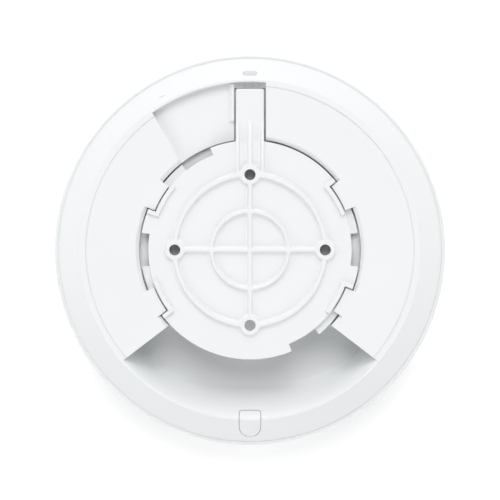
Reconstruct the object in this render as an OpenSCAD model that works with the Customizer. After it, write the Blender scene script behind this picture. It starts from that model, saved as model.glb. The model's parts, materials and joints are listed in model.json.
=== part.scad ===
// Ceiling access point with its twist-on mounting bracket. Units: millimetres.
// Z points up at the ceiling, Y towards the latch arm, and the origin is the centre of the face
// that the bracket presses against the ceiling.

/* [Overall] */
// Greatest width of the round body
body_d = 160; // [140:1:200]
// Distance from the ceiling to the lowest point of the front
body_h = 33; // [31:0.5:40]
// Distance from the ceiling to the flat back of the body
back_gap = 1.5; // [1:0.1:3]
// Distance from the ceiling to the joint between back cover and front dome
part_depth = 10.5; // [9:0.1:13]
// Rounding of the dome's edge
dome_edge_r = 13; // [8:0.5:16]
// Wall of the covers
skin_t = 2; // [1.5:0.1:3]

/* [Back cover] */
// Radius where the flat back ends and the sloping edge begins
rim_r = 68.1; // [60:0.1:75]
// Radius where the sloping edge meets the dome
part_r = 77.6; // [70:0.1:78]
// Radius of the fine groove in the flat back
groove_r = 65.45; // [60:0.05:70]
// Width of the fine groove
groove_w = 0.45; // [0.2:0.05:1]
// Depth of the fine groove
groove_depth = 0.15; // [0.1:0.05:1]
// Radius of the round pocket that takes the bracket
pocket_r = 44.35; // [40:0.05:50]
// Distance from the ceiling to the pocket's floor
pocket_depth = 6.3; // [5.8:0.1:8]
// Width of the sloped edge around the pocket
pocket_bevel = 1.3; // [0.5:0.05:3]
// Radius out to which the arm's slot and sweep recess are cut
sweep_r = 67.2; // [64:0.1:67.4]
// Distance from the ceiling to the floor of the arm's sweep recess
sweep_depth = 4.6; // [4.5:0.1:6]
// Thickness of the rim's lip inside the dome
lip_t = 1.85; // [1:0.05:3]
// Length of that lip below the joint
lip_h = 3; // [2:0.1:5]

/* [Bayonet] */
// Turn between locked and released, in degrees
lock_turn = 30; // [20:1:45]
// Radius of the bracket's round plate
bracket_r = 43.7; // [40:0.05:49]
// Radius of the bracket's wall behind the teeth
flange_wall_r = 40.6; // [38:0.05:42]
// Inner radius of the body's teeth
tooth_r = 41.15; // [38:0.05:43]
// Thickness of a tooth
tooth_t = 1.8; // [1:0.1:3]
// Thickness of the bracket's flange that carries a tooth
flange_t = 1.8; // [1:0.1:3]
// Play between a tooth and its flange
tooth_play = 0.2; // [0.1:0.05:0.5]

/* [Bracket] */
// Thickness of the bracket's plate
plate_t = 1.5; // [1:0.1:3]
// Diameter of the circle through the four screw holes
screw_circle_d = 60; // [50:0.1:80]
// Diameter of each screw hole
screw_hole_d = 4.4; // [3.5:0.1:6]
// Diameter of the boss around each screw hole
boss_d = 8; // [6:0.1:10]
// Width of the ring rib through the bosses
outer_rib_w = 1.75; // [1:0.05:3]
// Radius of the small ring rib
inner_rib_r = 15.35; // [8:0.05:20]
// Width of the small ring rib
inner_rib_w = 1.4; // [1:0.05:3]
// Width of the two straight ribs
cross_rib_w = 1.6; // [1:0.05:3]
// Slope width at the foot of a rib
rib_foot = 0.5; // [0.2:0.05:1]
// Bevel at the top of a rib
rib_bevel = 0.25; // [0.1:0.05:0.5]

/* [Latch arm] */
// Half the width of the arm
arm_half_w = 5.6; // [4:0.05:8]
// Distance from the centre to the arm's tip
arm_tip_y = 64.5; // [60:0.1:66.5]
// Thickness of the arm
arm_t = 1.2; // [0.8:0.1:2]
// Distance from the ceiling to the arm's upper face
arm_top_depth = 2.6; // [2.5:0.1:4]
// Distance from the centre to the line where the arm bends
arm_bend_y = 44.6; // [44:0.1:50]
// Gap on each side of the arm in its slot
arm_gap = 0.75; // [0.4:0.05:1.5]
// Distance from the centre to the outer end of the arm's ribs
arm_rib_y = 51.8; // [48:0.1:60]
// Distance from the centre to where the arm's ribs start to slope down
rib_top_y = 36; // [31:0.5:42]
// Distance from the centre to where that slope grows steeper
rib_knee_y = 48; // [45:0.5:50]
// Distance from the ceiling to the ribs' top there
rib_knee_depth = 1.5; // [0.5:0.1:2.4]
// Width of the arm's side ribs
arm_rib_w = 1.25; // [0.8:0.05:2]
// Height of the lock ridge above the sweep floor
ridge_h = 1.3; // [0.5:0.1:2]

/* [Cable recess] */
// Distance from the ceiling to the recess floor
recess_depth = 19; // [14:0.5:19.5]
// Distance from the centre to the wall that holds the network jack
jack_wall_y = 17; // [12:0.5:22]
// Half the width of that wall
jack_wall_half_w = 15.2; // [12:0.1:20]
// Slant of the recess side walls, in degrees
recess_slant = 37.4; // [20:0.1:60]
// Distance from the centre to the outer edge of the recess floor
recess_floor_r = 54.4; // [50:0.05:60]
// How much further out that edge lies towards the sides
recess_flare = 10; // [0:0.5:14]
// Part of a half wave that the ramp follows from the floor to the rim, in degrees
ramp_turn = 168; // [120:1:175]
// Half the width of the cable door
door_half_w = 4.4; // [3:0.1:7]
// Distance from the centre to the door's straight inner edge
door_in_y = 64.2; // [60:0.1:66]
// Distance from the body's edge to the door's round end
door_edge_gap = 4.6; // [3:0.1:8]
// Corner radius at the door's inner edge
door_corner_r = 1.2; // [0.3:0.1:3]
// Distance from the ceiling to the floor of the door's channel
door_depth = 8.3; // [6:0.1:10]
// Gap around the door
door_gap = 0.15; // [0.1:0.05:0.4]

/* [Release slot and mark] */
// Width of the release slot
pin_slot_w = 5.75; // [3:0.05:8]
// Height of the release slot
pin_slot_h = 2.1; // [1:0.05:3]
// Distance from the ceiling to the middle of the release slot
pin_slot_depth = 4.15; // [3.5:0.05:6]
// Length of the alignment mark
mark_w = 2.4; // [1:0.1:5]
// Height of the alignment mark
mark_h = 0.6; // [0.3:0.1:1.5]

/* [Status light] */
// Radius of the middle of the light ring
light_r = 23; // [15:0.5:40]
// Width of the light ring
light_w = 2; // [1:0.1:4]

/* [Electronics] */
// Radius of the main board
board_r = 62; // [50:1:65]
// Thickness of the main board
board_t = 1.6; // [1:0.1:2]
// Distance from the ceiling to the board's upper face
board_depth = 22.4; // [22:0.1:24]
// Width of the network jack
jack_w = 16; // [15:0.1:18]
// Length of the network jack
jack_l = 21.2; // [15:0.1:25]
// Height of the network jack
jack_h = 13.5; // [12:0.1:14]
// Width of the plug opening
plug_w = 11.9; // [11.7:0.05:12.2]
// Height of the plug opening
plug_h = 6.9; // [6.7:0.05:7.5]
// Number of jack contacts
contact_count = 8; // [4:1:8]
// Distance between jack contacts
contact_pitch = 1.02; // [0.9:0.01:1.3]
// Radius of an antenna cable
coax_r = 0.57; // [0.3:0.01:1]

/* [Hidden] */
$fn = 96;
white_a = [0.93, 0.94, 0.95];
white_b = [0.90, 0.91, 0.92];
metal = [0.72, 0.73, 0.75];
dark = [0.12, 0.12, 0.13];
green = [0.06, 0.22, 0.16];

z_back = -back_gap;
z_part = -part_depth;
z_pocket = -pocket_depth;
z_sweep = -sweep_depth;
z_recess = -recess_depth;
z_board = -board_depth;
rib_h = back_gap;
cut = 1;
overlap = 0.4;

// dome outline: an edge arc that runs smoothly into a very large front arc
dome_edge_x = body_d / 2 - dome_edge_r;
dome_edge_z = z_part - sqrt(pow(dome_edge_r, 2) - pow(part_r + 0.2 - dome_edge_x, 2));
front_lift = body_h - dome_edge_r;
dome_c = (pow(dome_edge_x, 2) + pow(dome_edge_z, 2) - pow(front_lift, 2)) / (2 * (front_lift + dome_edge_z));
dome_front_r = dome_c + body_h;
dome_meet_x = dome_front_r * dome_edge_x / (dome_front_r - dome_edge_r);

// bayonet: [locked tooth start, locked tooth end, flange start, flange end, notch end], clockwise degrees
keys = [
    [52, 67.5, 51.4, 81, 98.8],
    [111.5, 126, 110.9, 140.7, 157.6],
    [-67.5, -52, -68.1, -38.6, -21.3],
    [-126, -111.5, -126.6, -98.9, -81]
];
z_flange = z_back - tooth_t - tooth_play;
stop_turn = 3;
stop_z = z_back - 0.7;
wall_in = flange_wall_r - 1.6;
hook_in = 38.8;
hook_out = 40.45;
hook_turn = 18;
hook_leg_turn = 2.1;
hook_h = 1.2;

slot_half_w = arm_half_w + arm_gap;
arm_z = -arm_top_depth;
arm_mid_z = arm_z - arm_t / 2;
knuckle_r = arm_t / 2 + 0.02;
knuckle_play = 0.08;
arm_corner_r = 0.8;
tip_gap = 0.4;
channel_l = 8;
lead_in = 1.3;
mark_reach = 9.45;
ridge_in = 50.7;
ridge_w = 2.2;
lip_r = part_r - lip_t;

screw_angles = [35, -35, 105, -105];
screw_radii = [50, 50, 54, 54];
post_r = 3.2;
pilot_r = 0.8;
screw_r = 0.75;
screw_hole_r = 1.2;
spreader_top = -18.2;
spreader_t = 1.5;
spreader_r = 45;
spreader_y = 9;
antenna_angles = [35, 82, -35, -82];
button_x = 11.4;
button_z = -17.2;
plug_floor_z = -18.6;
plug_depth = 13;
jack_front_y = -16.9;
contact_slope = 9;
contact_t = 0.36;
contact_l = 8.6;
// height of one guide step of the plug's tab, and half its two widths
tab_steps = [[3.05, 1.6], [1.7, 2.8]];
carrier_turn = 11;
carrier_pin_r = 0.8;
carrier_pin_x = 7;
carrier_pin_y = 59.5;
// [x, y, width, length] of each shield
shield_list = [[0, 26, 24, 22], [-27, 24, 20, 20], [27, 24, 20, 20]];
shield_h = 2.2;
coax_z = z_board + 1.95 + coax_r;

// a point at a clockwise angle from Y
function at(a, r) = [r * sin(a), r * cos(a)];

// pie slice that reaches past the body's edge
module sector(a1, a2) {
    steps = ceil((a2 - a1) / 30);
    reach = 100;
    polygon(concat([[0, 0]], [for (i = [0:steps]) at(a1 + (a2 - a1) * i / steps, reach)]));
}

module band(r1, r2, a1, a2) {
    intersection() {
        difference() {
            circle(r2);
            circle(r1);
        }
        sector(a1, a2);
    }
}

module band_block(r1, r2, a1, a2, z1, z2)
    translate([0, 0, z1]) linear_extrude(z2 - z1) band(r1, r2, a1, a2);

module block(x1, x2, y1, y2, z1, z2) translate([x1, y1, z1]) cube([x2 - x1, y2 - y1, z2 - z1]);

// cross-section of a rib: sloped foot, straight sides, bevelled top
module rib_section(w, h, foot, bevel) {
    sunk = 0.3;
    polygon([
        [-w / 2 - foot, -sunk], [-w / 2 - foot, 0], [-w / 2, foot], [-w / 2, h - bevel],
        [-w / 2 + bevel, h], [w / 2 - bevel, h], [w / 2, h - bevel], [w / 2, foot],
        [w / 2 + foot, 0], [w / 2 + foot, -sunk]
    ]);
}

module ring_rib(r, w)
    translate([0, 0, z_back]) rotate_extrude() translate([r, 0]) rib_section(w, rib_h, rib_foot, rib_bevel);

module straight_rib(w, l)
    translate([0, l / 2, z_back]) rotate([90, 0, 0]) linear_extrude(l)
        rib_section(w, rib_h, rib_foot, rib_bevel);

// round boss with the same foot and bevel as the ribs
module round_boss(r) {
    sunk = 0.3;
    translate([0, 0, z_back]) rotate_extrude() polygon([
        [0, -sunk], [r + rib_foot, -sunk], [r + rib_foot, 0], [r, rib_foot],
        [r, rib_h - rib_bevel], [r - rib_bevel, rib_h], [0, rib_h]
    ]);
}

// height of the top of the arm's ribs: level, then sloping gently to the knee, then steeply to the arm
function rib_top(y) = min(0, -rib_knee_depth * (y - rib_top_y) / (rib_knee_y - rib_top_y),
    -rib_knee_depth - (arm_top_depth - rib_knee_depth) * (y - rib_knee_y) / (arm_rib_y - rib_knee_y));

// one rib of the arm from y1 to y2
module arm_rib(x1, x2, y1, y2) {
    low = arm_z - 0.3;
    bends = [for (y = [rib_top_y, rib_knee_y]) if (y > y1 && y < y2) [y, rib_top(y)]];
    translate([x1, 0, 0]) rotate([90, 0, 90]) linear_extrude(x2 - x1)
        polygon(concat([[y1, low], [y1, rib_top(y1)]], bends, [[y2, rib_top(y2)], [y2, low]]));
}

// a shape drawn in side view, with Y to the right and Z up, made w wide across the middle
module side_view(w) translate([-w / 2, 0, 0]) rotate([90, 0, 90]) linear_extrude(w) children();

module arm_ribs(y1, y2) {
    for (s = [-1, 1])
        arm_rib(s > 0 ? arm_half_w - arm_rib_w : -arm_half_w, s > 0 ? arm_half_w : arm_rib_w - arm_half_w,
            y1, y2);
    arm_rib(-cross_rib_w / 2, cross_rib_w / 2, y1, y2);
}

module bracket_outline() {
    circle(flange_wall_r);
    difference() {
        circle(bracket_r);
        for (k = keys) sector(k[2], k[4]);
    }
}

module bracket_plate() color(white_a) {
    root_y = arm_bend_y - 0.4;
    hole_y = screw_circle_d / 2;
    channel_w = 2 * (arm_half_w - arm_rib_w);
    seat_r = knuckle_r + knuckle_play;
    difference() {
        union() {
            translate([0, 0, z_back - plate_t]) linear_extrude(plate_t) bracket_outline();
            for (k = keys) {
                // wall and flange that carry the tooth
                band_block(wall_in, flange_wall_r, k[2] - stop_turn, k[3], z_flange - flange_t, stop_z);
                band_block(wall_in, bracket_r, k[2] - stop_turn, k[3], z_flange - flange_t, z_flange);
                // stop block
                band_block(wall_in, bracket_r, k[2] - stop_turn, k[2], z_flange - flange_t, stop_z);
                // raised hook along the locked tooth
                translate([0, 0, z_back - overlap]) linear_extrude(hook_h + overlap) {
                    band(hook_in, hook_out, k[2] - hook_leg_turn, k[2] + hook_turn);
                    band(hook_in, bracket_r, k[2] - hook_leg_turn, k[2]);
                }
            }
            ring_rib(screw_circle_d / 2, outer_rib_w);
            ring_rib(inner_rib_r, inner_rib_w);
            straight_rib(cross_rib_w, screw_circle_d);
            rotate(90) straight_rib(cross_rib_w, screw_circle_d);
            for (a = [0:90:270]) rotate(a) {
                translate([0, hole_y, 0]) round_boss(boss_d / 2);
                translate([0, inner_rib_r, 0]) round_boss(cross_rib_w);
            }
            // root of the arm: a lowered tongue under the ribs
            side_view(2 * arm_half_w) polygon([[hole_y + 1, arm_z - arm_t], [hole_y + 1, z_back - overlap],
                [bracket_r - cut, z_back - overlap], [bracket_r - cut, arm_z], [root_y, arm_z],
                    [root_y, arm_z - arm_t]]);
        }
        // the face between the arm's ribs slopes down to the arm
        difference() {
            side_view(channel_w) polygon([[bracket_r - channel_l, z_back], [bracket_r, arm_z],
                [root_y + cut, arm_z],
                [root_y + cut, cut], [bracket_r - channel_l, cut]]);
            block(-cross_rib_w / 2, cross_rib_w / 2, 0, body_d, -body_d, body_d);
        }
        for (a = [0:90:270]) rotate(a) translate([0, hole_y, -body_h])
            cylinder(d = screw_hole_d, h = 2 * body_h);
        // seat for the arm's bending knuckle
        knuckle(seat_r, body_d);
    }
    difference() {
        arm_ribs(hole_y + 0.5, root_y);
        translate([0, hole_y, -body_h]) cylinder(r = boss_d / 2 - overlap, h = 2 * body_h);
        knuckle(seat_r, body_d);
    }
}

// round bar along the line where the arm bends
module knuckle(r, w) translate([-w / 2, arm_bend_y, arm_mid_z]) rotate([0, 90, 0]) cylinder(r = r, h = w);

module latch_arm() color(white_a) {
    difference() {
        union() {
            translate([0, 0, arm_z - arm_t]) linear_extrude(arm_t) {
                translate([-arm_half_w, arm_bend_y])
                    square([2 * arm_half_w, arm_tip_y - arm_corner_r - arm_bend_y]);
                translate([arm_corner_r - arm_half_w, arm_tip_y - 2 * arm_corner_r])
                    square([2 * (arm_half_w - arm_corner_r), 2 * arm_corner_r]);
                for (s = [-1, 1])
                    translate([s * (arm_half_w - arm_corner_r), arm_tip_y - arm_corner_r])
                        circle(arm_corner_r);
            }
            knuckle(knuckle_r, 2 * arm_half_w);
            arm_ribs(arm_bend_y + 0.35, arm_rib_y);
        }
        // lead-in under the tip for the release pin
        side_view(body_d) polygon([[arm_tip_y - lead_in, arm_z - arm_t - 0.1],
            [arm_tip_y + 0.1, arm_z - arm_t + lead_in / 2], [arm_tip_y + 0.1, arm_z - arm_t - 0.1]]);
    }
}

// recess seen from above; e moves its walls outwards
module recess_outline(e) {
    far = 54;
    x1 = jack_wall_half_w + e * tan(recess_slant / 2);
    x2 = x1 + far * cos(recess_slant);
    y1 = e - jack_wall_y;
    y2 = y1 - far * sin(recess_slant);
    polygon([[-x1, y1], [x1, y1], [x2, y2], [x2, -body_d / 2 - 5], [-x2, -body_d / 2 - 5], [-x2, y2]]);
}

// the floor's outer edge runs straight in the middle and curves outwards at the sides
function floor_edge(a) = recess_floor_r + recess_flare * (sqrt(pow(sin(a), 2) + 0.01) - 0.1);
function ramp_r(a, t, e) = floor_edge(a) + e + (sweep_r - floor_edge(a)) * t;
function ramp_z(t, e) = z_recess - e + (z_back - z_recess) * (1 - cos(ramp_turn * t)) / (1 - cos(ramp_turn));

// space above the recess floor and ramp; e moves its surface outwards
module ramp_space(e, top_z) {
    rows = 36;
    steps = 14;
    half = 60;
    inner = 5;
    n = steps + 4;
    section = function (a) concat(
        [[inner, z_recess - e]],
        [for (j = [0:steps]) [ramp_r(a, j / steps, e), ramp_z(j / steps, e)]],
        [[sweep_r + e, top_z], [inner, top_z]]);
    points = [for (i = [0:rows]) let (a = -half + 2 * half * i / rows)
        for (p = section(a)) [p[0] * sin(a), -p[0] * cos(a), p[1]]];
    sides = [for (i = [0:rows - 1]) for (j = [0:n - 1]) let (k = (j + 1) % n)
        each [[i * n + j, i * n + k, (i + 1) * n + k], [i * n + j, (i + 1) * n + k, (i + 1) * n + j]]];
    ends = [for (j = [0:n - 3]) each [
        [n - 1, j + 1, j], [rows * n + n - 1, rows * n + j, rows * n + j + 1]]];
    polyhedron(points, concat(sides, ends));
}

module recess_space() intersection() {
    translate([0, 0, z_recess - cut]) linear_extrude(recess_depth + 2 * cut) recess_outline(0);
    ramp_space(0, cut);
}

module sweep_outline(e) intersection() {
    circle(sweep_r + e);
    rotate(lock_turn) translate([-slot_half_w - e, 0]) square([body_d, body_d]);
    translate([-body_d, 0]) square([body_d, body_d]);
}

module slot_outline(e) intersection() {
    circle(sweep_r + e);
    translate([-slot_half_w - e, 0]) square([2 * (slot_half_w + e), body_d]);
}

module door_outline(e) {
    round_y = body_d / 2 - door_half_w - door_edge_gap;
    half = door_half_w + e;
    corner = door_corner_r + e;
    length = round_y - door_in_y + e;
    translate([-half, -round_y]) square([2 * half, length - corner]);
    translate([corner - half, -round_y]) square([2 * (half - corner), length]);
    for (s = [-1, 1]) translate([s * (half - corner), length - corner - round_y]) circle(corner);
    translate([0, -round_y]) circle(half);
}

module cover_solid() rotate_extrude() polygon([
    [0, z_back], [rim_r, z_back], [part_r, z_part], [lip_r, z_part], [lip_r, z_part - lip_h],
        [0, z_part - lip_h]]);

module cover_core() {
    lip_in = lip_r - lip_t;
    slope = (z_back - z_part) / (part_r - rim_r);
    drop = skin_t * sqrt(1 + slope * slope);
    core_r = rim_r - (drop - skin_t) / slope;
    rotate_extrude() polygon([
        [0, z_back - skin_t], [core_r, z_back - skin_t],
        [lip_in, z_back - drop - slope * (lip_in - rim_r)], [lip_in, z_part - lip_h - cut],
            [0, z_part - lip_h - cut]]);
}

module back_cover() color(white_b) {
    cup_top = z_back - 1.1;
    cup_t = 1.8;
    difference() {
        union() {
            difference() {
                cover_solid();
                cover_core();
            }
            translate([0, 0, z_pocket - cup_t])
                cylinder(r = pocket_r + cup_t, h = cup_top - z_pocket + cup_t);
            translate([0, 0, z_sweep - 1.6]) linear_extrude(cup_top - z_sweep + 1.6) sweep_outline(1.75);
            translate([0, 0, z_pocket - cup_t]) linear_extrude(cup_top - z_pocket + cup_t) slot_outline(1.7);
            intersection() {
                translate([0, 0, z_recess - cup_t - cut]) linear_extrude(recess_depth) recess_outline(cup_t);
                ramp_space(cup_t, cup_top);
            }
            intersection() {
                translate([0, 0, -door_depth - 1.6]) linear_extrude(door_depth) door_outline(1.6);
                cover_solid();
            }
            for (i = [0:3]) translate(concat(at(screw_angles[i], screw_radii[i]),
                [i < 2 ? spreader_top : z_board]))
                cylinder(r = post_r, h = cup_top - (i < 2 ? spreader_top : z_board));
            // bead that snaps into the dome
            rotate_extrude() polygon([[lip_r - 0.5, z_part - 1.2], [lip_r + 0.3, z_part - 1.6],
                [lip_r + 0.3, z_part - 2], [lip_r - 0.5, z_part - 2.4]]);
        }
        // pocket for the bracket, with its sloped edge
        translate([0, 0, z_pocket]) cylinder(r = pocket_r, h = 20);
        rotate_extrude() polygon([[0, z_back - pocket_bevel], [pocket_r, z_back - pocket_bevel],
            [pocket_r + pocket_bevel + cut, z_back + cut], [0, z_back + cut]]);
        translate([0, 0, z_sweep]) linear_extrude(20) sweep_outline(0);
        translate([0, 0, z_sweep]) linear_extrude(20) slot_outline(0);
        translate([0, 0, z_pocket]) linear_extrude(20) intersection() {
            slot_outline(0);
            square([body_d, 2 * (arm_tip_y + tip_gap)], center = true);
        }
        recess_space();
        rotate_extrude() translate([groove_r - groove_w / 2, z_back - groove_depth]) square([groove_w, cut]);
        // release slot through the rim, and the alignment mark
        translate([0, 80, -pin_slot_depth]) rotate([90, 0, 0]) linear_extrude(16) {
            square([pin_slot_w - pin_slot_h, pin_slot_h], center = true);
            for (s = [-1, 1]) translate([s * (pin_slot_w - pin_slot_h) / 2, 0]) circle(d = pin_slot_h);
        }
        rotate(lock_turn) translate([0, 80, -pin_slot_depth + 0.05]) rotate([90, 0, 0])
            linear_extrude(mark_reach) {
            square([mark_w - mark_h, mark_h], center = true);
            for (s = [-1, 1]) translate([s * (mark_w - mark_h) / 2, 0]) circle(d = mark_h);
        }
        // openings in the jack wall
        block(-jack_w / 2 - 0.15, jack_w / 2 + 0.15, -jack_wall_y - 0.05, -jack_wall_y + cup_t + 0.1,
            z_board, z_board + jack_h + 0.2);
        translate([button_x, -jack_wall_y + 5, button_z]) rotate([90, 0, 0]) cylinder(r = 1.6, h = 10);
        // channel for the cable door
        translate([0, 0, -door_depth]) linear_extrude(20) door_outline(0);
        for (i = [0:3]) translate(concat(at(screw_angles[i], screw_radii[i]), [z_board - cut]))
            cylinder(r = pilot_r, h = 11);
    }
    // teeth
    for (k = keys) band_block(tooth_r, pocket_r + pocket_bevel + 0.3, k[0], k[1], z_back - tooth_t, z_back);
    // lock ridge beside the slot, sloped at its side and end
    ridge_out = sweep_r - 0.5;
    intersection() {
        translate([0, ridge_out, 0]) rotate([90, 0, 0]) linear_extrude(ridge_out - ridge_in) polygon([
            [-slot_half_w - ridge_w, z_sweep - 0.5], [-slot_half_w - ridge_w, z_sweep],
            [-slot_half_w - ridge_w / 2, z_sweep + ridge_h], [-slot_half_w, z_sweep + ridge_h],
            [-slot_half_w, z_sweep - 0.5]]);
        side_view(body_d) polygon([[ridge_in, z_sweep - cut], [ridge_in, z_sweep],
            [ridge_in + ridge_w / 2, z_sweep + ridge_h], [ridge_in + ridge_w / 2, cut], [body_d, cut],
                [body_d, z_sweep - cut]]);
    }
}

// outline of the dome, moved inwards by e
module dome_section(e) {
    intersection() {
        union() {
            translate([0, dome_edge_z]) square([dome_edge_x + dome_edge_r - e - 1.5, -dome_edge_z]);
            translate([dome_edge_x, dome_edge_z]) circle(dome_edge_r - e);
            intersection() {
                translate([0, dome_c]) circle(dome_front_r - e);
                translate([0, -body_h - 1]) square([dome_meet_x, body_h + 1 + dome_edge_z + 0.5]);
            }
        }
        translate([0, -body_h - 1]) square([body_d, body_h + 1 + z_part - 0.1]);
    }
}

module front_dome() color(white_b) {
    groove_t = 1.1;
    difference() {
        rotate_extrude() dome_section(0);
        intersection() {
            rotate_extrude() dome_section(skin_t);
            translate([0, 0, -body_h - 1]) cylinder(r = body_d, h = body_h + 1 + z_part - lip_h - 0.4);
        }
        translate([0, 0, z_part - lip_h - 0.5]) cylinder(r = lip_r + 0.15, h = 20);
        rotate_extrude() polygon([[lip_r - 0.5, z_part - 1.0], [lip_r + 0.5, z_part - 1.45],
            [lip_r + 0.5, z_part - 2.15], [lip_r - 0.5, z_part - 2.6]]);
        // seat and windows of the light ring
        translate([0, 0, -body_h - 1]) linear_extrude(groove_t + 1) band_ring(light_w / 2 + 0.05);
        for (a = [0:45:315])
            translate([0, 0, -body_h - 1]) linear_extrude(5)
                band(light_r - 0.6, light_r + 0.6, a + 3, a + 42);
    }
}

module band_ring(half) difference() {
    circle(light_r + half);
    circle(light_r - half);
}

function front_z(r) = dome_c - sqrt(pow(dome_front_r, 2) - pow(r, 2));

module status_lens() color([0.85, 0.92, 1]) {
    seat = -body_h + 1.08;
    r1 = light_r - light_w / 2;
    r2 = light_r + light_w / 2;
    rotate_extrude() polygon([[r1, front_z(r1)], [r2, front_z(r2)], [r2, seat], [r1, seat]]);
    for (a = [0:45:315])
        translate([0, 0, seat - 0.3]) linear_extrude(1.2)
            band(light_r - 0.55, light_r + 0.55, a + 3.5, a + 41.5);
}

module light_guide() color([0.9, 0.95, 1]) {
    low = -body_h + 2.7;
    top = z_board - board_t - 1.1;
    difference() {
        translate([0, 0, low]) cylinder(r = light_r + 1.5, h = top - low);
        translate([0, 0, low - cut]) cylinder(r = light_r - 1.5, h = top - low + 2 * cut);
    }
    for (a = [45:120:285]) translate(concat(at(a, light_r), [low + cut]))
        cylinder(r = 0.9, h = z_board - board_t - low - cut);
}

module status_leds() color([1, 1, 0.8])
    for (a = [0:90:270]) rotate(a) translate([0, light_r, z_board - board_t - 0.4])
        cube([1.6, 1.6, 0.8], center = true);

module main_board() color(green) difference() {
    translate([0, 0, z_board - board_t]) cylinder(r = board_r, h = board_t);
    for (i = [0:3]) translate(concat(at(screw_angles[i], screw_radii[i]), [z_board - 5]))
        cylinder(r = screw_hole_r, h = 10);
    for (a = antenna_angles) rotate(-a) for (s = [-1, 1])
        translate([carrier_pin_x * s, carrier_pin_y, z_board - 5]) cylinder(r = carrier_pin_r + 0.05, h = 10);
}

module board_screws() color(metal) for (i = [0:3])
    translate(concat(at(screw_angles[i], screw_radii[i]), [z_board - board_t])) difference() {
        union() {
            translate([0, 0, -1.7]) cylinder(r1 = 2.3, r2 = 2.6, h = 1.7);
            translate([0, 0, -0.2]) cylinder(r = screw_r, h = 9.5);
        }
        translate([0, 0, -2]) for (t = [0, 90]) rotate(t) cube([2.6, 0.6, 2], center = true);
    }

module heat_spreader() color(metal) {
    low = spreader_top - spreader_t;
    ear_r = 4;
    fin_pitch = 4;
    fin_t = 1;
    difference() {
        union() {
            translate([0, 0, low]) linear_extrude(spreader_t) {
                intersection() {
                    circle(spreader_r);
                    translate([-spreader_r, spreader_y]) square([2 * spreader_r, spreader_r]);
                }
                for (i = [0:1]) rotate(-screw_angles[i]) {
                    translate([0, screw_radii[i]]) circle(ear_r);
                    translate([-ear_r, spreader_r - 7]) square([2 * ear_r, screw_radii[i] - spreader_r + 7]);
                }
            }
            for (i = [0:1]) rotate(-screw_angles[i]) translate([0, screw_radii[i], z_board])
                cylinder(r = post_r, h = low - z_board + overlap);
            // fins
            for (i = [-6:6]) block(i * fin_pitch - fin_t / 2, i * fin_pitch + fin_t / 2, spreader_y + 2, 34,
                spreader_top - overlap, spreader_top + 7);
        }
        for (i = [0:1]) rotate(-screw_angles[i]) translate([0, screw_radii[i], z_board - cut])
            cylinder(r = screw_hole_r, h = 10);
    }
}

module shield(s) translate([s[0], s[1], z_board]) difference() {
    translate([0, 0, shield_h / 2]) cube([s[2], s[3], shield_h], center = true);
    translate([0, 0, shield_h / 2 - 0.4]) cube([s[2] - 0.6, s[3] - 0.6, shield_h], center = true);
    for (i = [-2:2]) for (j = [-2:2]) translate([s[2] / 6 * i, s[3] / 6 * j, 0]) cylinder(r = 0.5, h = 5);
}

module processor_shield() color(metal) shield(shield_list[0]);

module radio_shields() color(metal) for (i = [1:2]) shield(shield_list[i]);

module thermal_pads() color([0.55, 0.6, 0.65]) for (s = shield_list)
    translate([s[0], s[1], (z_board + shield_h + spreader_top - spreader_t) / 2])
        cube([14, 14, spreader_top - spreader_t - z_board - shield_h], center = true);

module chip(x, y, w, l, h) translate([x, y, z_board + h / 2]) cube([w, l, h], center = true);

module processor_chip() color(dark) chip(3.5, 26, 12, 12, 1.3);

module memory_chips() color(dark) for (y = [21, 31]) chip(-7.2, y, 7, 8, 1);

module radio_chips() color(dark) for (s = [-1, 1]) {
    chip(27 * s, 21, 9, 9, 1);
    for (x = [-5, 0, 5]) chip(27 * s + x, 30, 3, 3, 0.8);
}

module jack_shell() color(metal) difference() {
    block(-jack_w / 2, jack_w / 2, jack_front_y, jack_front_y + jack_l, z_board, z_board + jack_h);
    block(0.4 - jack_w / 2, jack_w / 2 - 0.4, jack_front_y - cut, jack_front_y + jack_l - 0.4,
        z_board - cut, z_board + jack_h - 0.4);
}

module jack_insert() color(dark) {
    gap = 0.45;
    difference() {
        block(gap - jack_w / 2, jack_w / 2 - gap, jack_front_y + 0.4, jack_front_y + jack_l - gap,
            z_board, z_board + jack_h - gap);
        block(-plug_w / 2, plug_w / 2, jack_front_y - cut, jack_front_y + plug_depth, plug_floor_z,
            plug_floor_z + plug_h);
        for (t = tab_steps)
            block(-t[0], t[0], jack_front_y - cut, jack_front_y + plug_depth, plug_floor_z,
                plug_floor_z + plug_h + t[1]);
    }
}

module jack_contacts() color([0.85, 0.7, 0.3]) for (i = [0:contact_count - 1])
    translate([(i - (contact_count - 1) / 2) * contact_pitch, jack_front_y + 2.6, plug_floor_z + 0.02])
        rotate([contact_slope, 0, 0]) translate([-contact_t / 2, 0, 0])
            cube([contact_t, contact_l, contact_t]);

module lan_transformer() color(dark) chip(23, -5, 12, 16, 6);

module power_transformer() {
    color([0.8, 0.75, 0.5]) chip(-20, -5, 13, 13, 1.2);
    color(dark) translate([-20, -5, z_board + 1.1]) {
        translate([-6, -5, 0]) cube([12, 10, 2]);
        translate([0, 0, 1]) cylinder(r = 4.6, h = 6);
        translate([-6, -5, 6.9]) cube([12, 10, 2]);
    }
}

module power_inductors() color([0.3, 0.3, 0.32]) for (p = [[36, -8], [46, -6], [36, 2]])
    translate([p[0], p[1], z_board]) intersection() {
        translate([-3.5, -3.5, 0]) cube([7, 7, 4]);
        rotate(45) translate([-4.4, -4.4, -cut]) cube([8.8, 8.8, 6]);
    }

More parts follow.
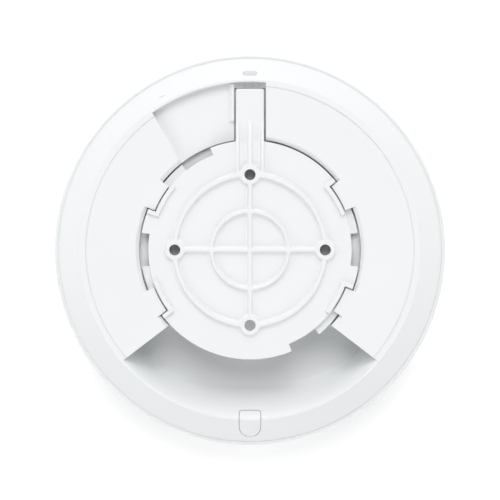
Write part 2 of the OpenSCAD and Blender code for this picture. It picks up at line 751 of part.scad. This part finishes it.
module power_capacitors() color([0.2, 0.2, 0.3]) for (p = [[-34, -8], [-44, -7], [-34, 3]])
    translate([p[0], p[1], z_board]) {
        translate([-4.2, -4.2, 0]) cube([8.4, 8.4, 1]);
        translate([0, 0, 0.9]) cylinder(r = 4, h = 9);
    }

module reset_switch() color(dark) difference() {
    block(button_x - 3, button_x + 3, -12.6, -8.8, z_board, button_z + 1.9);
    translate([button_x, -10.6, button_z]) rotate([90, 0, 0]) cylinder(r = 1.08, h = 4);
}

module reset_stem() color(white_b)
    translate([button_x, -11.4, button_z]) rotate([90, 0, 0]) cylinder(r = 1, h = 2.8);

module reset_button() color([0.4, 0.42, 0.45]) translate([button_x, -14.2, button_z]) rotate([90, 0, 0]) {
    cylinder(r = 2.3, h = 0.8);
    cylinder(r = 1.5, h = 2.7);
}

module cable_door() color(white_b) {
    first = 0.6;
    steps = 8;
    slope = [for (j = [0:steps]) let (t = first + (1 - first) * j / steps) [ramp_r(0, t, 0), ramp_z(t, 0)]];
    difference() {
        intersection() {
            translate([0, 0, -door_depth + 0.2]) linear_extrude(20) door_outline(-door_gap);
            cover_solid($fn = 360);
        }
        // the door continues the ramp
        rotate_extrude($fn = 360) polygon(concat(slope, [[sweep_r, cut], [slope[0][0], cut]]));
    }
}

module antenna_spots() for (a = antenna_angles) rotate(-a) children();

module antenna_carriers() color([0.25, 0.26, 0.28]) antenna_spots() {
    difference() {
        union() {
            band_block(66, 67.5, -carrier_turn, carrier_turn, z_board - 1.4, z_board + 8.8);
            band_block(57.5, 66.2, -carrier_turn, carrier_turn, z_board, z_board + 1.5);
            for (s = [-1, 1]) translate([carrier_pin_x * s, carrier_pin_y, z_board - board_t])
                cylinder(r = carrier_pin_r, h = board_t + 0.5);
        }
        block(2.5, 5.5, 64, 70, z_board + 1.5, z_board + 3.2);
    }
}

module antennas() color([0.8, 0.68, 0.4]) antenna_spots() {
    difference() {
        union() {
            band_block(67.53, 67.93, -10, 10, z_board - 0.6, z_board + 9.3);
            band_block(64.5, 67.73, -8, 8, z_board + 8.9, z_board + 9.3);
            block(3, 5, 61.4, 67.6, z_board + 1.53, z_board + 1.93);
        }
        block(-9, -1, 66, 70, z_board + 3.4, z_board + 4.4);
        block(1, 2, 66, 70, z_board + 3.4, z_board + 8);
    }
}

module antenna_cables() color([0.15, 0.15, 0.16]) antenna_spots() translate([0, 0, coax_z]) {
    bend = 3;
    translate([-8, 59, 0]) rotate([90, 0, 0]) cylinder(r = coax_r, h = 5.4);
    translate([-8 + bend, 59, 0]) rotate(90) rotate_extrude(angle = 90) translate([bend, 0]) circle(coax_r);
    translate([-8 + bend, 59 + bend, 0]) rotate([0, 90, 0]) cylinder(r = coax_r, h = 9.6);
}

module cable_plugs() color([0.75, 0.65, 0.35]) antenna_spots() translate([-8, 52, z_board]) {
    cylinder(r = 1.5, h = 3.2);
    translate([-0.8, 0, 1.75]) cube([1.6, 1.58, 1.4]);
}

bracket_plate();
latch_arm();
back_cover();
front_dome();
cable_door();
status_lens();
light_guide();
status_leds();
main_board();
board_screws();
heat_spreader();
thermal_pads();
processor_shield();
radio_shields();
processor_chip();
memory_chips();
radio_chips();
jack_shell();
jack_insert();
jack_contacts();
lan_transformer();
power_transformer();
power_inductors();
power_capacitors();
reset_switch();
reset_stem();
reset_button();
antenna_carriers();
antennas();
antenna_cables();
cable_plugs();
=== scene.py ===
import bpy, math, json
import numpy as np
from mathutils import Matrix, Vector


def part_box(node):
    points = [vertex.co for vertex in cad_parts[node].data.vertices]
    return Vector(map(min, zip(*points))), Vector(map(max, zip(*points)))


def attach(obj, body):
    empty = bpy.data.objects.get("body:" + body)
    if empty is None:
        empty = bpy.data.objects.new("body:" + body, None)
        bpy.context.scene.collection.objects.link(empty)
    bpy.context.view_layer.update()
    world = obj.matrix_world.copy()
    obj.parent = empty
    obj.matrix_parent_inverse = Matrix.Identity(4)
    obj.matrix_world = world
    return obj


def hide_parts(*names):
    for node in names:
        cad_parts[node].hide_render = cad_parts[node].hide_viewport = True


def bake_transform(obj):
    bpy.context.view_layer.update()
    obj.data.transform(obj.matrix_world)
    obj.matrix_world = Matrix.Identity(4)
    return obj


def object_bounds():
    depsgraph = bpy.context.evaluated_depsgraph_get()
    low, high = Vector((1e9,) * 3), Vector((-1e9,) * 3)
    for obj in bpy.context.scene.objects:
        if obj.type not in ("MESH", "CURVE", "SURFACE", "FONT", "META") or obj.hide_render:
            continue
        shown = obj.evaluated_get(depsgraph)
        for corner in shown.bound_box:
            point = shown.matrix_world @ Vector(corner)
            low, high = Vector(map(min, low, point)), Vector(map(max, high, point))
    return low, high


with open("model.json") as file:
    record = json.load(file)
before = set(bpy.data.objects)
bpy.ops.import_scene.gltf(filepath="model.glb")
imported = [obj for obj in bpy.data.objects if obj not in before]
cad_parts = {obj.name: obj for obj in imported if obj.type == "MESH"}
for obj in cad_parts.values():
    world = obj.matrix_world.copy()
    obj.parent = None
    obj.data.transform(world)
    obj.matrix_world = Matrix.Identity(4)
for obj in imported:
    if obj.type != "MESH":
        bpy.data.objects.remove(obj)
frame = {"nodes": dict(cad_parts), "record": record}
CAD_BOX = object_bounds()
record = frame["record"]
nodes = frame["nodes"]
MM = 0.001

# ---------------------------------------------------------------- solids from distance fields
# A piece with moulded fillets is described by its signed distance, in millimetres, at any set of places.


class Places:
    """Points, in millimetres, with the simple distances that a moulded piece is built from."""

    def __init__(self, x, y, z):
        self.x, self.y, self.z = x, y, z
        self.r = np.hypot(x, y)

    def wedge(self, a1, a2):
        """Pie slice between two clockwise angles from +Y, in degrees."""
        mid, half = math.radians((a1 + a2) / 2), math.radians((a2 - a1) / 2)
        along = self.x * math.sin(mid) + self.y * math.cos(mid)
        across = self.x * math.cos(mid) - self.y * math.sin(mid)
        return abs(across) * math.cos(half) - along * math.sin(half)

    def disc(self, x, y, r):
        return np.hypot(self.x - x, self.y - y) - r

    def band(self, r1, r2):
        return np.maximum(r1 - self.r, self.r - r2)

    def slab(self, z1, z2):
        return np.maximum(z1 - self.z, self.z - z2)

    def box(self, x1, x2, y1, y2):
        return np.maximum(np.maximum(x1 - self.x, self.x - x2), np.maximum(y1 - self.y, self.y - y2))


def join(a, b, k):
    """Union with a fillet of about k millimetres."""
    h = np.clip(0.5 + 0.5 * (b - a) / k, 0, 1)
    return b + (a - b) * h - k * h * (1 - h)


def meet(a, b, k):
    """Intersection with its edge rounded by about k millimetres."""
    return -join(-a, -b, k)


def slope(shape, p):
    """How the shape's distance changes along x, y and z at each point of p."""
    step = 0.02
    change = [shape(Places(*(p + s).T)) - shape(Places(*(p - s).T)) for s in step * np.eye(3)]
    return np.stack(change, 1) / (2 * step)


def settle(shape, p, rounds):
    """Moves points onto the shape's surface."""
    least = 0.2  # keeps a move short where the distance hardly changes
    for _ in range(rounds):
        g = slope(shape, p)
        p = p - shape(Places(*p.T))[:, None] * g / np.maximum((g * g).sum(1), least)[:, None]
    return p


def net(shape, low, high, cell):
    """Points and quads over the surface of a shape, one point in each grid cell that it crosses."""
    low = np.array(low) - 2 * cell
    size = np.ceil((np.array(high) + 2 * cell - low) / cell).astype(int) + 1
    x, y, z = ((low[i] + cell * np.arange(size[i])).astype(np.float32) for i in range(3))
    field = shape(Places(x[:, None, None], y[None, :, None], z[None, None, :]))
    inside = field < 0
    n = size - 1
    count = sum(inside[a:n[0] + a, b:n[1] + b, c:n[2] + c].astype(np.uint8)
                for a in (0, 1) for b in (0, 1) for c in (0, 1))
    cells = np.argwhere((count > 0) & (count < 8))
    index = np.full(tuple(n), -1, np.int32)
    index[tuple(cells.T)] = np.arange(len(cells))
    total, hits = np.zeros((len(cells), 3)), np.zeros(len(cells))
    quads = []
    for axis in range(3):
        step, u, v = (np.eye(3, dtype=int)[(axis + i) % 3] for i in range(3))
        for corner in (0 * u, u, v, u + v):
            a, b = cells + corner, cells + corner + step
            fa, fb = field[tuple(a.T)], field[tuple(b.T)]
            cross = (fa < 0) != (fb < 0)
            share = np.where(cross, fa / np.where(cross, fa - fb, 1), 0)
            total += cross[:, None] * (a + share[:, None] * step)
            hits += cross
        first, second = [slice(None)] * 3, [slice(None)] * 3
        first[axis], second[axis] = slice(0, -1), slice(1, None)
        edges = np.argwhere(inside[tuple(first)] != inside[tuple(second)])
        ring = np.stack([index[tuple((edges - a).T)] for a in (u + v, v, 0 * u, u)], 1)
        out = inside[tuple(edges.T)]
        quads.append(np.where(out[:, None], ring, ring[:, ::-1]))
    return total / hits[:, None] * cell + low, np.concatenate(quads)


def read(items, name, width=1, kind=float):
    """One attribute of all vertices, corners or faces of a mesh."""
    values = np.zeros(len(items) * width, kind)
    items.foreach_get(name, values)
    return values.reshape(-1, width) if width > 1 else values


def face_of_corner(mesh, values):
    """Repeats a value of each face for each of its corners."""
    return np.repeat(values, read(mesh.polygons, "loop_total", kind=int), 0)


def skin(name, shape, low, high, cell, keep, edge_angle=35):
    """Mesh of a shape's surface, thinned to a share of its faces, shaded with the shape's own normals."""
    points, quads = net(shape, low, high, cell)
    points = settle(shape, points, 1)
    mesh = bpy.data.meshes.new(name)
    mesh.from_pydata((points * MM).tolist(), [], quads.tolist())
    obj = bpy.data.objects.new(name, mesh)
    bpy.context.scene.collection.objects.link(obj)
    thin = obj.modifiers.new("thin", "DECIMATE")
    thin.ratio = keep
    thin.use_collapse_triangulate = True
    final = bpy.data.meshes.new_from_object(obj.evaluated_get(bpy.context.evaluated_depsgraph_get()))
    obj.modifiers.clear()
    obj.data = final
    final.name = name
    at = settle(shape, read(final.vertices, "co", 3) / MM, 2)
    final.vertices.foreach_set("co", (at * MM).ravel())
    final.update()
    # a corner takes the shape's normal, or its face's own where an edge is sharper than the faces
    final.shade_smooth()
    own = face_of_corner(final, read(final.polygons, "normal", 3))
    normal = slope(shape, at)[read(final.loops, "vertex_index", kind=int)]
    normal /= np.linalg.norm(normal, axis=1)[:, None]
    crisp = (normal * own).sum(1) < math.cos(math.radians(edge_angle))
    normal[crisp] = own[crisp]
    final.normals_split_custom_set(normal.tolist())
    return obj


# ---------------------------------------------------------------- bracket and its latch arm

mounts = {m["name"]: m for m in record["mounts"]}
cover_box, plate_box, arm_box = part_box("back_cover"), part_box("bracket_plate"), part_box("latch_arm")
face_z = cover_box[1].z / MM  # flat back of the body, level with the bracket's plate
bracket_r = -plate_box[0].y / MM
bracket_low = plate_box[0].z / MM
arm_half_w, arm_tip, arm_low = arm_box[1].x / MM, arm_box[1].y / MM, arm_box[0].z / MM
screws = mounts["ceiling_screws"]["dims"]
screw_r, hole_r = screws["pcd_mm"] / 2, screws["hole_r_mm"]

# sizes that the frame doesn't state, in millimetres
edge_r, soft_r, hole_edge_r, line_edge_r = 0.2, 0.3, 0.15, 0.6
margin, trim = 1, 0.1
# walls, flanges, stops and hooks; the turns of stop, leg and hook are in degrees
plate_t, flange_t = 1.5, 1.8
wall_in, wall_r, hook_in, hook_out = 39.0, 40.6, 38.8, 40.45
wall_drop, stop_drop, hook_root, hook_rise, hook_fillet = 0.5, 0.7, 0.4, 1.2, 0.35
stop_turn, leg_turn, hook_turn = 3, 2.1, 18
# round and straight ribs
boss_r, cross_half, ring_half, inner_ring_r, inner_ring_half = 4.0, 0.8, 0.875, 15.35, 0.7
boss_fillet, cross_fillet, plate_fillet, line_root = 0.8, 1.2, 1.1, 1
# arm, and the sine and cosine of the slope under its tip
arm_top = arm_low + 1.2
arm_root_y, tip_corner_r, lead_in, arm_fillet = 31, 1.0, 1.3, 0.4
lead_sin, lead_cos = 0.447, 0.894
# the arm's ribs, level at first, then gently and then steeply sloped; rib_cos is an average over the slopes
rib_w, rib_root_y, rib_top_y, rib_knee_y, rib_end_y = 1.25, 30.5, 36, 48, 51.8
rib_knee_z, rib_sink, rib_cos = -1.5, 0.4, 0.98
channel_l, channel_end = 8, 50
# where each flange starts and ends, and where its notch ends, in clockwise degrees
KEYS = [(51.4, 81, 98.8), (110.9, 140.7, 157.6), (-68.1, -38.6, -21.3), (-126.6, -98.9, -81)]


def bayonet(g, body):
    """Adds the walls, flanges, stops and raised hooks that lock into the body's teeth."""
    for start, end, _ in KEYS:
        reach = g.wedge(start - stop_turn, end)
        wall = np.maximum(g.band(wall_in, wall_r), reach)
        flange = np.maximum(g.band(wall_in, bracket_r), reach)
        stop = np.maximum(g.band(wall_in, bracket_r), g.wedge(start - stop_turn, start))
        hook = np.maximum(g.band(hook_in, hook_out), g.wedge(start - leg_turn, start + hook_turn))
        leg = np.maximum(g.band(hook_in, bracket_r), g.wedge(start - leg_turn, start))
        body = np.minimum(body, meet(wall, g.slab(bracket_low, face_z - wall_drop), edge_r))
        body = np.minimum(body, meet(flange, g.slab(bracket_low, bracket_low + flange_t), soft_r))
        body = np.minimum(body, meet(stop, g.slab(bracket_low, face_z - stop_drop), soft_r))
        raised = meet(np.minimum(hook, leg), g.slab(face_z - hook_root, face_z + hook_rise), soft_r)
        body = join(body, raised, hook_fillet)
    return body


def latch_arm(g, body, arm_outline):
    """Adds the arm, its ribs, and the face between them that slopes down to it from the plate."""
    arm = meet(arm_outline, g.slab(arm_low, arm_top), edge_r)
    arm = np.maximum(arm, lead_sin * (g.y - arm_tip + lead_in) - lead_cos * (g.z - arm_low + trim))
    down = np.clip((g.y - bracket_r + channel_l) / channel_l, 0, 1)
    channel = g.box(rib_w - arm_half_w, arm_half_w - rib_w, bracket_r - channel_l - margin, channel_end)
    channel = meet(channel, face_z + (arm_top - face_z) * down - g.z, soft_r)
    body = join(np.maximum(body, -channel), arm, arm_fillet)
    gentle = rib_knee_z * (g.y - rib_top_y) / (rib_knee_y - rib_top_y)
    steep = rib_knee_z + (arm_top - rib_knee_z) * (g.y - rib_knee_y) / (rib_end_y - rib_knee_y)
    top = np.clip(np.minimum(gentle, steep), arm_top - rib_sink, 0)
    lines = np.minimum(abs(g.x) - cross_half, abs(abs(g.x) - arm_half_w + rib_w / 2) - rib_w / 2)
    lines = np.maximum(lines, np.maximum(rib_root_y - g.y, g.y - rib_end_y - margin))
    ribs = np.maximum(meet(lines, rib_cos * (g.z - top), soft_r), arm_low - g.z + trim)
    return join(body, ribs, soft_r)


def screw_ribs(g, body):
    """Adds the round and straight ribs with the bosses of the four screws."""
    cross = np.maximum(np.minimum(abs(g.x), abs(g.y)) - cross_half, g.r - screw_r)
    lines = join(cross, abs(g.r - inner_ring_r) - inner_ring_half, cross_fillet)
    lines = join(lines, abs(g.r - screw_r) - ring_half, cross_fillet)
    spots = [(0, screw_r), (screw_r, 0), (0, -screw_r), (-screw_r, 0)]
    for x, y in spots:
        lines = join(lines, g.disc(x, y, boss_r), boss_fillet)
    body = join(body, meet(lines, g.slab(face_z - line_root, 0), line_edge_r), plate_fillet)
    for x, y in spots:
        body = meet(body, -g.disc(x, y, hole_r), hole_edge_r)
    return body


def bracket_shape(g):
    """The whole bracket, its arm included."""
    outline = g.r - bracket_r
    for start, _, end in KEYS:
        outline = np.maximum(outline, -g.wedge(start, end))
    outline = join(outline, g.r - wall_r, soft_r)
    body = bayonet(g, meet(outline, g.slab(face_z - plate_t, face_z), edge_r))
    arm_outline = np.maximum(abs(g.x) - arm_half_w, arm_root_y - g.y)
    arm_outline = meet(arm_outline, g.y - arm_tip, tip_corner_r)
    body = latch_arm(g, body, arm_outline)
    body = np.maximum(body, np.minimum(g.r - bracket_r, arm_outline))
    return np.maximum(screw_ribs(g, body), g.z)


bracket = skin("bracket", bracket_shape, (-bracket_r, -bracket_r, bracket_low), (bracket_r, arm_tip, 0),
               cell=0.22, keep=0.25)
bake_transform(bracket)
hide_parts("bracket_plate", "latch_arm")

# ---------------------------------------------------------------- back cover


def smooth_copy(node, name, body, limit=16):
    """A copy of a CAD node where flat facets within limit degrees of each other shade as one surface."""
    same_place, flat_cos = 1e-7, 0.99999
    mesh = nodes[node].data.copy()
    mesh.name = name
    obj = bpy.data.objects.new(name, mesh)
    bpy.context.scene.collection.objects.link(obj)
    at = read(mesh.vertices, "co", 3)[read(mesh.loops, "vertex_index", kind=int)]
    normal = read(mesh.corner_normals, "vector", 3, np.float32).astype(float)
    own = face_of_corner(mesh, read(mesh.polygons, "normal", 3))
    weight = face_of_corner(mesh, read(mesh.polygons, "area"))
    # corners in the same place form a group
    _, group = np.unique(np.round(at / same_place).astype(int), axis=0, return_inverse=True)
    group = group.ravel()
    order = np.argsort(group, kind="stable")
    ends = np.flatnonzero(np.diff(group[order])) + 1
    flat = (normal * own).sum(1) > flat_cos
    near = math.cos(math.radians(limit))
    for members in np.split(order, ends):
        members = members[flat[members]]
        if len(members) < 2:
            continue
        n = own[members]
        close = (n @ n.T) > near
        total = (close * weight[members]) @ n
        normal[members] = total / np.linalg.norm(total, axis=1)[:, None]
    mesh.shade_smooth()
    mesh.normals_split_custom_set(normal.tolist())
    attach(obj, body)
    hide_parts(node)
    return obj


cover = smooth_copy("back_cover", "cover", "housing")

# ---------------------------------------------------------------- materials


def shader(name, color, rough, spec=0.5, metal=0.0, bump=0.0, bump_scale=1500.0, mottle=0.02,
           rough_var=0.05, bevel=0.0, coat=0.0, trans=0.0):
    """A procedural finish: its colour drifts slowly, and its roughness and surface vary finely."""
    m = bpy.data.materials.new(name)
    m.use_nodes = True
    nt = m.node_tree
    p = nt.nodes["Principled BSDF"]
    coords = nt.nodes.new("ShaderNodeTexCoord")
    slow = nt.nodes.new("ShaderNodeTexNoise")
    slow.inputs["Scale"].default_value = 28.0
    slow.inputs["Detail"].default_value = 4.0
    nt.links.new(coords.outputs["Object"], slow.inputs["Vector"])
    fine = nt.nodes.new("ShaderNodeTexNoise")
    fine.inputs["Scale"].default_value = bump_scale
    fine.inputs["Detail"].default_value = 3.0
    nt.links.new(coords.outputs["Object"], fine.inputs["Vector"])
    mix = nt.nodes.new("ShaderNodeMix")
    mix.data_type = "RGBA"
    # 0, 6 and 7 are the sockets of the factor and the two colours, and 2 is the colour that comes out
    a = [max(0.0, c * (1 - mottle)) for c in color]
    b = [min(1.0, c * (1 + mottle * 0.6)) for c in color]
    mix.inputs[6].default_value = (*a, 1)
    mix.inputs[7].default_value = (*b, 1)
    nt.links.new(slow.outputs["Fac"], mix.inputs[0])
    nt.links.new(mix.outputs[2], p.inputs["Base Color"])
    ramp = nt.nodes.new("ShaderNodeMapRange")
    ramp.inputs["To Min"].default_value = max(0.02, rough - rough_var)
    ramp.inputs["To Max"].default_value = min(1.0, rough + rough_var)
    nt.links.new(fine.outputs["Fac"], ramp.inputs["Value"])
    nt.links.new(ramp.outputs["Result"], p.inputs["Roughness"])
    normal = None
    if bevel:
        bv = nt.nodes.new("ShaderNodeBevel")
        bv.samples = 6
        bv.inputs["Radius"].default_value = bevel
        normal = bv.outputs["Normal"]
    if bump:
        bp = nt.nodes.new("ShaderNodeBump")
        bp.inputs["Strength"].default_value = bump
        bp.inputs["Distance"].default_value = 0.00002
        nt.links.new(fine.outputs["Fac"], bp.inputs["Height"])
        if normal:
            nt.links.new(normal, bp.inputs["Normal"])
        normal = bp.outputs["Normal"]
    if normal:
        nt.links.new(normal, p.inputs["Normal"])
    p.inputs["Metallic"].default_value = metal
    p.inputs["Specular IOR Level"].default_value = spec
    p.inputs["Coat Weight"].default_value = coat
    p.inputs["Transmission Weight"].default_value = trans
    return m


WHITE, BLACK = (0.79, 0.803, 0.81), (0.02, 0.02, 0.022)
FINISH = {
    "bracket_white": dict(color=WHITE, rough=0.42, spec=0.35, bump=0.25),
    "body_white": dict(color=WHITE, rough=0.46, spec=0.35, bump=0.3, bevel=0.0003),
    "dome_white": dict(color=WHITE, rough=0.4, spec=0.35, bump=0.2, bevel=0.0002),
    "lens": dict(color=(0.82, 0.88, 0.93), rough=0.2, trans=0.5, bump=0.05),
    "led": dict(color=(0.9, 0.85, 0.55), rough=0.15, coat=0.5, bump=0.1),
    "board": dict(color=(0.02, 0.09, 0.06), rough=0.35, coat=0.4, bump=0.6, bump_scale=500, mottle=0.15),
    "steel": dict(color=(0.62, 0.63, 0.65), rough=0.3, metal=1.0, bump=0.15, mottle=0.05),
    "alloy": dict(color=(0.68, 0.69, 0.71), rough=0.42, metal=1.0, bump=0.5, mottle=0.06),
    "pad": dict(color=(0.3, 0.37, 0.48), rough=0.8, bump=0.5),
    "chip": dict(color=BLACK, rough=0.6, bump=0.5),
    "black_plastic": dict(color=(0.018, 0.018, 0.02), rough=0.5, bump=0.4),
    "grey_plastic": dict(color=(0.12, 0.125, 0.13), rough=0.5, bump=0.4),
    "contact": dict(color=(0.8, 0.6, 0.27), rough=0.25, metal=1.0, bump=0.1),
    "ferrite": dict(color=(0.05, 0.05, 0.052), rough=0.7, bump=0.8, bump_scale=900, mottle=0.2),
    "capacitor": dict(color=(0.5, 0.51, 0.54), rough=0.35, metal=0.8, bump=0.1),
    "cable": dict(color=BLACK, rough=0.55, bump=0.3),
}
MATS = {k: shader(k, **v) for k, v in FINISH.items()}
bracket.data.materials.clear()
bracket.data.materials.append(MATS["bracket_white"])
cover.data.materials.clear()
cover.data.materials.append(MATS["body_white"])
for s in record["subparts"]:
    o = nodes[s["node"]]
    o.data.materials.clear()
    o.data.materials.append(MATS[s["material_slot"]])

# ---------------------------------------------------------------- stage

floor_w = 6
bpy.ops.mesh.primitive_plane_add(size=floor_w, location=(0, 0, CAD_BOX[0].z))
floor = bpy.context.object
floor.name = "floor"
fm = bpy.data.materials.new("floor")
fm.use_nodes = True
fp = fm.node_tree.nodes["Principled BSDF"]
fp.inputs["Base Color"].default_value = (0.8, 0.8, 0.8, 1)
fp.inputs["Roughness"].default_value = 1
fp.inputs["Specular IOR Level"].default_value = 0
fp.inputs["Emission Color"].default_value = (1, 1, 1, 1)
fp.inputs["Emission Strength"].default_value = 0.3
floor.data.materials.append(fm)

# the room: a weak glow from the sides, dark overhead where the camera is, with a bright band at the horizon
world = bpy.data.worlds.new("room")
bpy.context.scene.world = world
world.use_nodes = True
wt = world.node_tree
bg = wt.nodes["Background"]
gen = wt.nodes.new("ShaderNodeTexCoord")
sep = wt.nodes.new("ShaderNodeSeparateXYZ")
glow = wt.nodes.new("ShaderNodeMath")
wt.links.new(gen.outputs["Generated"], sep.inputs[0])
for i, (z1, z2, strength) in enumerate([(0.55, 0.9, 0.28), (0.08, 0.2, 0.3)]):
    fall = wt.nodes.new("ShaderNodeMapRange")
    fall.interpolation_type = "SMOOTHSTEP"
    fall.inputs["From Min"].default_value = z1
    fall.inputs["From Max"].default_value = z2
    fall.inputs["To Min"].default_value = strength
    fall.inputs["To Max"].default_value = 0.0
    wt.links.new(sep.outputs["Z"], fall.inputs["Value"])
    wt.links.new(fall.outputs["Result"], glow.inputs[i])
wt.links.new(glow.outputs[0], bg.inputs["Strength"])
bg.inputs["Color"].default_value = (1.0, 1.0, 1.0, 1)


def soft_sun(name, azimuth, elevation, energy, width=40):
    """A wide, even light from a direction given in degrees clockwise from +Y and above the floor."""
    sun = bpy.data.lights.new(name, "SUN")
    sun.energy = energy
    sun.angle = math.radians(width)
    light = bpy.data.objects.new(name, sun)
    bpy.context.scene.collection.objects.link(light)
    a, e = math.radians(azimuth), math.radians(elevation)
    towards = Vector((math.sin(a) * math.cos(e), math.cos(a) * math.cos(e), math.sin(e)))
    light.rotation_euler = towards.to_track_quat("Z", "Y").to_euler()


# the key comes from beyond the latch arm; four low lights fill the sides
LIGHTS = {
    "key": (0, 55, 1.54),
    "fill": (180, 55, 0.2),
    "low_y": (0, 30, 0.81),
    "low_x": (90, 30, 0.67),
    "low_back": (180, 30, 1.15),
    "low_left": (270, 30, 0.78),
}
for name, settings in LIGHTS.items():
    soft_sun(name, *settings)

# ---------------------------------------------------------------- camera

# straight above the origin; view_w is seen across the picture at the height of the body's widest edge
distance, view_w, edge_z = 0.6, 0.205, -0.0177
cam = bpy.data.cameras.new("camera")
camera = bpy.data.objects.new("camera", cam)
bpy.context.scene.collection.objects.link(camera)
camera.location = (0, 0, edge_z + distance)
camera.rotation_euler = (0, 0, 0)
cam.sensor_width = 36
cam.lens = cam.sensor_width * distance / view_w
cam.clip_start, cam.clip_end = 0.05, 10
bpy.context.scene.camera = camera

bpy.context.scene.view_settings.view_transform = "Standard"
